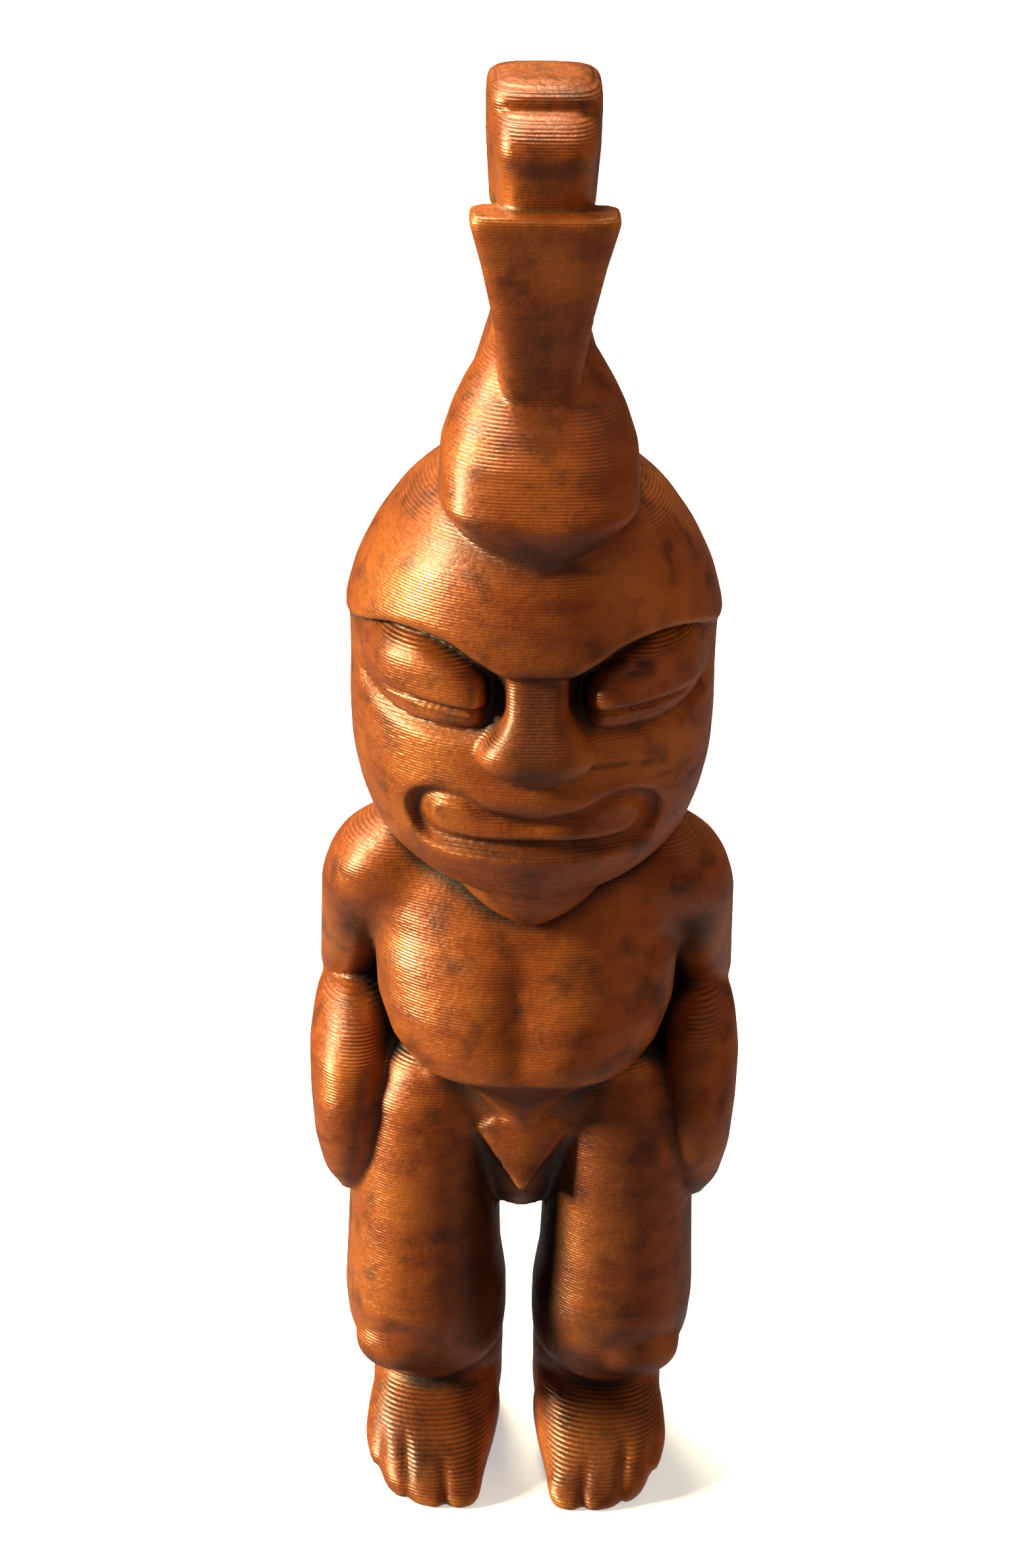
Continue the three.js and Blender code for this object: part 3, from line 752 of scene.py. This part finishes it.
# %% [markdown]
# ## Hollows and ridges
#
# A stain stays in hollows and rubs off ridges, and the finish also paints the shade that falls in hollows
# and deep gaps. A shader could look for them again in every render, but measured once they are kept on the
# mesh.
# In a small ball round a point of a flat surface, half of the space is solid. In a hollow more of it is
# solid, and on a ridge less. A small ball finds creases and ridges, and a large one finds the deep gaps
# between the arms and the belly and between the legs, where the finish paints shade. Blurred boxes stand for
# the balls, because running sums make them fast.


# %% Measure the hollows
WHOLE_BLOCK, WHOLE_STEP = ((-21, -21, -4), (21, 18, 118)), 0.45
SMALL_BALL, LARGE_BALL = (1, 1), (5, 4)  # reaches of the boxes that are blurred one after the other


def blurred(grid, reach):
    """The mean of a grid over a box of this reach, in grid steps."""
    for axis in range(3):
        margins = [(reach + 1, reach) if a == axis else (0, 0) for a in range(3)]
        sums = np.cumsum(np.pad(grid, margins, "edge"), axis)
        size = 2 * reach + 1
        ahead = np.take(sums, range(size, sums.shape[axis]), axis)
        grid = (ahead - np.take(sums, range(sums.shape[axis] - size), axis)) / size
    return grid


whole_space = Space(*WHOLE_BLOCK, WHOLE_STEP)
whole = np.minimum(crested_head(whole_space), body_field(whole_space))
solid = np.clip(0.5 - whole / WHOLE_STEP, 0, 1) * (whole_space.z > 0)
crease_grid = blurred(blurred(solid, SMALL_BALL[0]), SMALL_BALL[1])
gap_grid = blurred(blurred(solid, LARGE_BALL[0]), LARGE_BALL[1])


def hollows(points):
    """How much is solid in the small and in the large ball round each point."""
    at = (points - np.array([axis[0] for axis in whole_space.axes])) / WHOLE_STEP
    return sampled(crease_grid, at), sampled(gap_grid, at)


head_hollows, body_hollows = hollows(head_surface[0]), hollows(body_surface[0])
print(f"creases on the head {head_hollows[0].min():.2f} to {head_hollows[0].max():.2f}")
print(f"gaps on the body {body_hollows[1].min():.2f} to {body_hollows[1].max():.2f}")

# %% Turn the head and fit both to the solid's box
head_points = head_surface[0].copy()
head_points[:, 0] = head_surface[0][:, 0] * math.cos(TURN) - head_surface[0][:, 1] * math.sin(TURN)
head_points[:, 1] = head_surface[0][:, 0] * math.sin(TURN) + head_surface[0][:, 1] * math.cos(TURN)
everything = np.concatenate([head_points, body_surface[0]])
lowest, highest = everything.min(0), everything.max(0)
scale = (np.array(HIGH) - np.array(LOW)) / (highest - lowest)
print("scaled by", np.round(1000 * scale, 3), "mm a part to fit the solid")


# %% Make the pieces
def mesh_object(name, vertices, polygons):
    mesh = bpy.data.meshes.new(name)
    mesh.from_pydata(vertices.tolist(), [], polygons.tolist())
    mesh.update()
    made = bpy.data.objects.new(name, mesh)
    bpy.context.scene.collection.objects.link(made)
    return made


def sculpted(name, points, faces, attributes):
    """A mesh in the solid's box that takes the solid's place and keeps what was measured on it."""
    placed = np.array(LOW) + (points - lowest) * scale
    piece = mesh_object(name, placed, faces)
    piece.data.polygons.foreach_set("use_smooth", [True] * len(faces))
    for attribute, values in attributes.items():
        layer = piece.data.attributes.new(attribute, "FLOAT", "POINT")
        layer.data.foreach_set("value", values.astype(np.float32))
    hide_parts("figure")
    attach(piece, "root")
    return piece


head = sculpted(
    "head", head_points, head_surface[1],
    {"crease": head_hollows[0], "gap": head_hollows[1], "mark": head_surface[2]},
)
body = sculpted(
    "body", body_surface[0], body_surface[1],
    {"crease": body_hollows[0], "gap": body_hollows[1], "mark": body_surface[2]},
)
print("made", head.name, "and", body.name)

# %% [markdown]
# ## The finish
#
# Silk filament has a shine between paint and metal. Its colour wanders between copper, amber and rust in
# patches and thin level bands. Ridges are rubbed paler, and that paler colour also paints a highlight along
# the edges. The dark stain lies in the measured hollows and in the scratches, and painted shade darkens the
# hollows further, the deep gaps and the wide patches. The print's layers are fine steps, 0.22 mm apart in
# height. Real steps would take far more faces than the rest of the figure, so they are a wave in the
# object's own Z, which a bump node turns into light and dark lines that follow every slope as contour lines
# do. On walls only the rounded edges of the layers show, but on slopes that face up the whole steps do, so
# the wave grows there, and their shade is painted between the steps, most of all on the feet.


# %% Shorthand for shader nodes
def node(tree, kind, **settings):
    made = tree.nodes.new(kind)
    for key, value in settings.items():
        setattr(made, key, value)
    return made


def maths(tree, operation, a, b=0.0):
    made = node(tree, "ShaderNodeMath", operation=operation)
    for socket, value in zip(made.inputs, (a, b)):
        if isinstance(value, (int, float)):
            socket.default_value = value
        else:
            tree.links.new(value, socket)
    return made.outputs[0]


def ranged(tree, value, low, high, start=0.0, end=1.0):
    made = node(tree, "ShaderNodeMapRange", interpolation_type="SMOOTHSTEP")
    tree.links.new(value, made.inputs["Value"])
    for name, number in (("From Min", low), ("From Max", high), ("To Min", start), ("To Max", end)):
        made.inputs[name].default_value = number
    return made.outputs["Result"]


def noise(tree, place, scale, detail, stretch=(1, 1, 1)):
    mapping = node(tree, "ShaderNodeMapping")
    tree.links.new(place, mapping.inputs["Vector"])
    mapping.inputs["Scale"].default_value = stretch
    made = node(tree, "ShaderNodeTexNoise")
    tree.links.new(mapping.outputs["Vector"], made.inputs["Vector"])
    made.inputs["Scale"].default_value = scale
    made.inputs["Detail"].default_value = detail
    return made.outputs["Fac"]


def mixed(tree, factor, a, b):
    made = node(tree, "ShaderNodeMix", data_type="RGBA")
    tree.links.new(factor, made.inputs[0])
    for socket, value in ((made.inputs[6], a), (made.inputs[7], b)):
        if isinstance(value, tuple):
            socket.default_value = (*value, 1)
        else:
            tree.links.new(value, socket)
    return made.outputs[2]


print("a finish is built with", ", ".join(helper.__name__ for helper in (node, maths, ranged, noise, mixed)))

# %% Copper print: its colours
COPPER = (0.27, 0.057, 0.007)
AMBER = (0.36, 0.092, 0.012)
RUST = (0.17, 0.029, 0.004)
RUBBED_AND_HIGHLIT = (0.62, 0.24, 0.050)
# the stain's dark brown, which also paints shade in creases, deep gaps, wide patches and between layer steps
STAIN_AND_SHADE = (0.010, 0.005, 0.003)

copper_print = bpy.data.materials.new("stained copper print")
copper_print.use_nodes = True
tree = copper_print.node_tree
shader = tree.nodes["Principled BSDF"]
place = node(tree, "ShaderNodeTexCoord").outputs["Object"]
crease = node(tree, "ShaderNodeAttribute", attribute_name="crease").outputs["Fac"]
gap = node(tree, "ShaderNodeAttribute", attribute_name="gap").outputs["Fac"]
# the marks: dark scratches and seams, and patches of painted shade
mark = node(tree, "ShaderNodeAttribute", attribute_name="mark").outputs["Fac"]

patches = noise(tree, place, 150, 4)
mottle = noise(tree, place, 420, 5)
bands = noise(tree, place, 260, 5, (1, 1, 2.5))
fine_bands = noise(tree, place, 700, 3, (1, 1, 8))
grain = noise(tree, place, 3200, 2)
glints = noise(tree, place, 1500, 2, (1, 1, 3))
colour = mixed(tree, ranged(tree, bands, 0.34, 0.62, 0.25), RUST, COPPER)
colour = mixed(tree, ranged(tree, patches, 0.44, 0.70, 0.0, 0.8), colour, AMBER)
colour = mixed(tree, ranged(tree, fine_bands, 0.50, 0.75, 0.0, 0.3), colour, RUST)
colour = mixed(tree, ranged(tree, mottle, 0.48, 0.74, 0.0, 0.55), colour, STAIN_AND_SHADE)
print("the bare plastic mixes copper, amber and rust with", len(tree.nodes), "nodes")

# %% Copper print: rubbed ridges with a painted highlight, the stain and painted shade
LAYER = 0.00022  # the height of one printed layer, in metres
# ridges are rubbed paler, and the paler colour also paints a highlight along the edges
colour = mixed(tree, ranged(tree, crease, 0.42, 0.22, 0.0, 0.55), colour, RUBBED_AND_HIGHLIT)
# the stain in the creases, deepened with painted shade
crease_in_patches = maths(tree, "ADD", crease, maths(tree, "MULTIPLY", maths(tree, "SUBTRACT", patches, 0.5), 0.12))
in_crease = ranged(tree, crease_in_patches, 0.53, 0.80, 0.0, 0.85)
# painted shade in the deep gaps between the arms and the belly and between the legs
gap_shade = ranged(tree, gap, 0.54, 0.72, 0.0, 0.97)
# all that darkens the colour: the stain, the scratches and the painted shade
stained_and_shaded = maths(tree, "MAXIMUM", maths(tree, "MAXIMUM", in_crease, gap_shade), mark)

height = node(tree, "ShaderNodeSeparateXYZ")
tree.links.new(place, height.inputs[0])
facing = node(tree, "ShaderNodeSeparateXYZ")
tree.links.new(node(tree, "ShaderNodeNewGeometry").outputs["True Normal"], facing.inputs[0])
slope = maths(tree, "ABSOLUTE", facing.outputs["Z"])
wobble = maths(tree, "MULTIPLY", maths(tree, "SUBTRACT", bands, 0.5), 0.3)
turns = maths(tree, "ADD", maths(tree, "DIVIDE", height.outputs["Z"], LAYER), wobble)
wave = maths(tree, "SINE", maths(tree, "MULTIPLY", turns, 2 * math.pi))
not_level = ranged(tree, slope, 0.93, 0.99, 1.0, 0.0)
on_slope = maths(tree, "MULTIPLY", ranged(tree, slope, 0.35, 0.85), not_level)
low_down = ranged(tree, height.outputs["Z"], 0.011, 0.016, 1.0, 0.3)  # the painted shade between the steps is strongest on the feet
# painted shade between the layer steps on slopes that face up, where real steps would cast it
between = maths(tree, "MULTIPLY", ranged(tree, wave, 0.0, 0.9, 0.6, 0.0), on_slope)
between = maths(tree, "MULTIPLY", between, low_down)
# the stain and the painted shade darken the colour
colour = mixed(tree, maths(tree, "MAXIMUM", stained_and_shaded, between), colour, STAIN_AND_SHADE)
tree.links.new(colour, shader.inputs["Base Color"])
print(f"the figure has {(HIGH.z - LOW.z) / LAYER:.0f} layers")

# %% Copper print: layers and shine
RELIEF = 0.000014  # how deep the layers look, in metres
on_top = ranged(tree, slope, 0.955, 0.995, 1.0, 0.25)
steepness = maths(tree, "MULTIPLY", ranged(tree, slope, 0.15, 0.92, 0.5, 1.7), on_top)
uneven = maths(tree, "ADD", maths(tree, "MULTIPLY", grain, 2.0), maths(tree, "MULTIPLY", glints, 3.0))
relief = maths(tree, "ADD", maths(tree, "MULTIPLY", wave, steepness), uneven)
bump = node(tree, "ShaderNodeBump")
tree.links.new(relief, bump.inputs["Height"])
bump.inputs["Distance"].default_value = RELIEF
tree.links.new(bump.outputs["Normal"], shader.inputs["Normal"])
dulled = maths(tree, "MULTIPLY", stained_and_shaded, 0.12)
rough = maths(tree, "ADD", ranged(tree, grain, 0.3, 0.7, 0.30, 0.46), dulled)
tree.links.new(rough, shader.inputs["Roughness"])
shader.inputs["Metallic"].default_value = 0.35
shader.inputs["Specular IOR Level"].default_value = 0.6
shader.inputs["Coat Weight"].default_value = 0.12
shader.inputs["Coat Roughness"].default_value = 0.35
for piece in (head, body):
    piece.data.materials.append(copper_print)
print("the finish has", len(tree.nodes), "nodes")

# %% [markdown]
# ## Specks
#
# Where the nozzle stops it leaves a tiny bead, and the photograph shows them glinting all over. Beads of
# one shape scattered at random are a job for Geometry Nodes: a tree that puts points on the surface, a bead
# of few faces on each, and makes them real. Its result becomes a plain mesh, held inside the solid's box.

# %% A tree that scatters beads
SPECK_INPUTS = {"Density": "NodeSocketFloat", "Bead radius": "NodeSocketFloat", "Seed": "NodeSocketInt"}
SMALLEST, LARGEST = 0.4, 1.0  # a bead's size, as a share of its radius
scatter = bpy.data.node_groups.new("specks", "GeometryNodeTree")
scatter.interface.new_socket("Surface", in_out="INPUT", socket_type="NodeSocketGeometry")
for title, kind in SPECK_INPUTS.items():
    scatter.interface.new_socket(title, in_out="INPUT", socket_type=kind)
scatter.interface.new_socket("Beads", in_out="OUTPUT", socket_type="NodeSocketGeometry")

given = node(scatter, "NodeGroupInput").outputs
points = node(scatter, "GeometryNodeDistributePointsOnFaces")
bead = node(scatter, "GeometryNodeMeshIcoSphere")
size = node(scatter, "FunctionNodeRandomValue")
beads = node(scatter, "GeometryNodeInstanceOnPoints")
real = node(scatter, "GeometryNodeRealizeInstances")
finish = node(scatter, "GeometryNodeSetMaterial")
size.inputs[2].default_value = SMALLEST
size.inputs[3].default_value = LARGEST
finish.inputs["Material"].default_value = copper_print
for start, end in (
    (given["Surface"], points.inputs["Mesh"]),
    (given["Density"], points.inputs["Density"]),
    (given["Seed"], points.inputs["Seed"]),
    (given["Bead radius"], bead.inputs["Radius"]),
    (given["Seed"], size.inputs["Seed"]),
    (points.outputs["Points"], beads.inputs["Points"]),
    (bead.outputs["Mesh"], beads.inputs["Instance"]),
    (size.outputs[1], beads.inputs["Scale"]),
    (beads.outputs["Instances"], real.inputs["Geometry"]),
    (real.outputs["Geometry"], finish.inputs["Geometry"]),
    (finish.outputs["Geometry"], node(scatter, "NodeGroupOutput").inputs["Beads"]),
):
    scatter.links.new(start, end)
print("the tree has", len(scatter.nodes), "nodes")

# %% Put beads on both pieces
BEAD_RADIUS = 0.00008


def speckled(name, surface, density, radius, seed):
    """Beads on a piece, as a plain mesh of their own."""
    made = bpy.data.objects.new(name, surface.data)
    bpy.context.scene.collection.objects.link(made)
    modifier = made.modifiers.new("specks", "NODES")
    modifier.node_group = scatter
    sockets = {item.name: item.identifier for item in scatter.interface.items_tree}
    for title, value in (("Density", density), ("Bead radius", radius), ("Seed", seed)):
        modifier[sockets[title]] = value
    evaluated = made.evaluated_get(bpy.context.evaluated_depsgraph_get())
    mesh = bpy.data.meshes.new_from_object(evaluated)
    made.modifiers.remove(modifier)
    made.data = mesh
    corners = np.zeros(3 * len(mesh.vertices))
    mesh.vertices.foreach_get("co", corners)
    mesh.vertices.foreach_set("co", np.clip(corners.reshape(-1, 3), LOW, HIGH).ravel())
    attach(made, "root")
    print(name, "has", len(mesh.polygons), "faces")


speckled("head_specks", head, 30000.0, BEAD_RADIUS, 3)  # beads to a square metre, radius and seed
speckled("body_specks", body, 14000.0, BEAD_RADIUS, 5)

# %% [markdown]
# ## Floor and light
#
# The photograph is lit warmly from the left and from behind above, with a pale surface under the feet and a
# dark room in front, so what faces forwards is dark. Three suns stand for that: a key from the left, a wide
# window behind, and a weak fill from the right that gives colour but no highlight. The world is a studio
# that is bright above, dim ahead and pale below. The floor is hidden from bounced light, because the soft
# pale world below stands for it and keeps the gap between the legs dark. It glows a little, so it stays
# white and its shadow pale.

# %% Floor
FLOOR_REACH = 3  # metres to each side
FLOOR_GLOW = 0.45
corners = FLOOR_REACH * np.array([(-1, -1, 0), (1, -1, 0), (1, 1, 0), (-1, 1, 0)], float)
floor = mesh_object("floor", corners, np.array([[0, 1, 2, 3]]))
paper = bpy.data.materials.new("pale floor")
paper.use_nodes = True
paper_shader = paper.node_tree.nodes["Principled BSDF"]
paper_shader.inputs["Base Color"].default_value = (0.90, 0.90, 0.89, 1)
paper_shader.inputs["Roughness"].default_value = 0.9
paper_shader.inputs["Emission Color"].default_value = (1.0, 0.99, 0.97, 1)
paper_shader.inputs["Emission Strength"].default_value = FLOOR_GLOW
floor.data.materials.append(paper)
floor.visible_diffuse = False
floor.visible_glossy = False
print("the floor reaches", FLOOR_REACH, "m to each side")


# %% Three suns
def lamp(name, direction, strength, spread, colour, shines=True):
    """A sun that shines from this direction, with soft shadows, and may leave no highlight."""
    light = bpy.data.objects.new(name, bpy.data.lights.new(name, "SUN"))
    light.data.energy = strength
    light.data.angle = math.radians(spread)
    light.data.color = colour
    light.rotation_euler = Vector(direction).to_track_quat("Z", "Y").to_euler()
    light.visible_glossy = shines
    bpy.context.scene.collection.objects.link(light)
    print(f"the {name} stands {math.degrees(math.asin(Vector(direction).normalized().z)):.0f} degrees up")


lamp("key", (-0.92, -0.14, 0.36), 12.5, 16, (1.0, 0.90, 0.52))
lamp("window", (-0.25, 0.50, 0.83), 5.6, 30, (1.0, 0.89, 0.58))
lamp("fill", (0.90, -0.40, 0.10), 3.0, 50, (1.0, 0.80, 0.52), shines=False)

# %% The studio around the figure
PALE_BELOW, DIM_AHEAD, WARM_ABOVE = (1.30, 1.30, 1.25), (0.12, 0.11, 0.10), (0.8, 0.72, 0.6)
STUDIO_STRENGTH = 0.3
world = bpy.data.worlds.new("studio")
world.use_nodes = True
sky = world.node_tree
up = node(sky, "ShaderNodeSeparateXYZ")
sky.links.new(node(sky, "ShaderNodeTexCoord").outputs["Generated"], up.inputs[0])
below = mixed(sky, ranged(sky, up.outputs["Z"], -0.9, -0.05), PALE_BELOW, DIM_AHEAD)
shade = mixed(sky, ranged(sky, up.outputs["Z"], 0.1, 1.0), below, WARM_ABOVE)
sky.links.new(shade, sky.nodes["Background"].inputs["Color"])
sky.nodes["Background"].inputs["Strength"].default_value = STUDIO_STRENGTH
bpy.context.scene.world = world
bpy.context.scene.view_settings.view_transform = "Standard"
print("the studio's strength is", STUDIO_STRENGTH)

# %% [markdown]
# ## Camera
#
# The photograph looks down on the figure by 24 degrees from close by, so the crest looks large and the feet
# small. A camera could be moved until that looks right. Here its place is worked out from the angle, the
# distance and the point that it aims at, and its lens from how many pixels a metre takes there. A small
# roll lets the figure lean as it does in the photograph.

# %% Camera
WIDE, TALL = 1563, 2380  # the photograph's pixels
SENSOR = 36
ELEVATION = math.radians(24)
ROLL = math.radians(1.25)
DISTANCE = 0.380
BACK_OF_CENTRE = 1.65  # the canon's axis lies this many parts behind the middle of the box
AIM_PARTS_UP = 57.8
AIM = Vector((0, BACK_OF_CENTRE * PART, AIM_PARTS_UP * PART))
PIXELS_PER_METRE = 19700  # at the point that the camera aims at
AXIS_PIXEL = 804  # how far right the figure's axis runs, at the picture's mid height
towards = Vector((0, math.cos(ELEVATION), -math.sin(ELEVATION)))
camera = bpy.data.objects.new("camera", bpy.data.cameras.new("camera"))
camera.location = AIM - DISTANCE * towards
camera.rotation_mode = "QUATERNION"
camera.rotation_quaternion = towards.to_track_quat("-Z", "Y") @ Quaternion((0, 0, 1), ROLL)
camera.data.sensor_width = SENSOR
camera.data.lens = SENSOR * PIXELS_PER_METRE * DISTANCE / TALL
camera.data.shift_x = -(AXIS_PIXEL - WIDE / 2) / TALL
camera.data.clip_start, camera.data.clip_end = 0.01, 10
bpy.context.scene.collection.objects.link(camera)
bpy.context.scene.camera = camera
print(f"the lens is {camera.data.lens:.1f} mm")
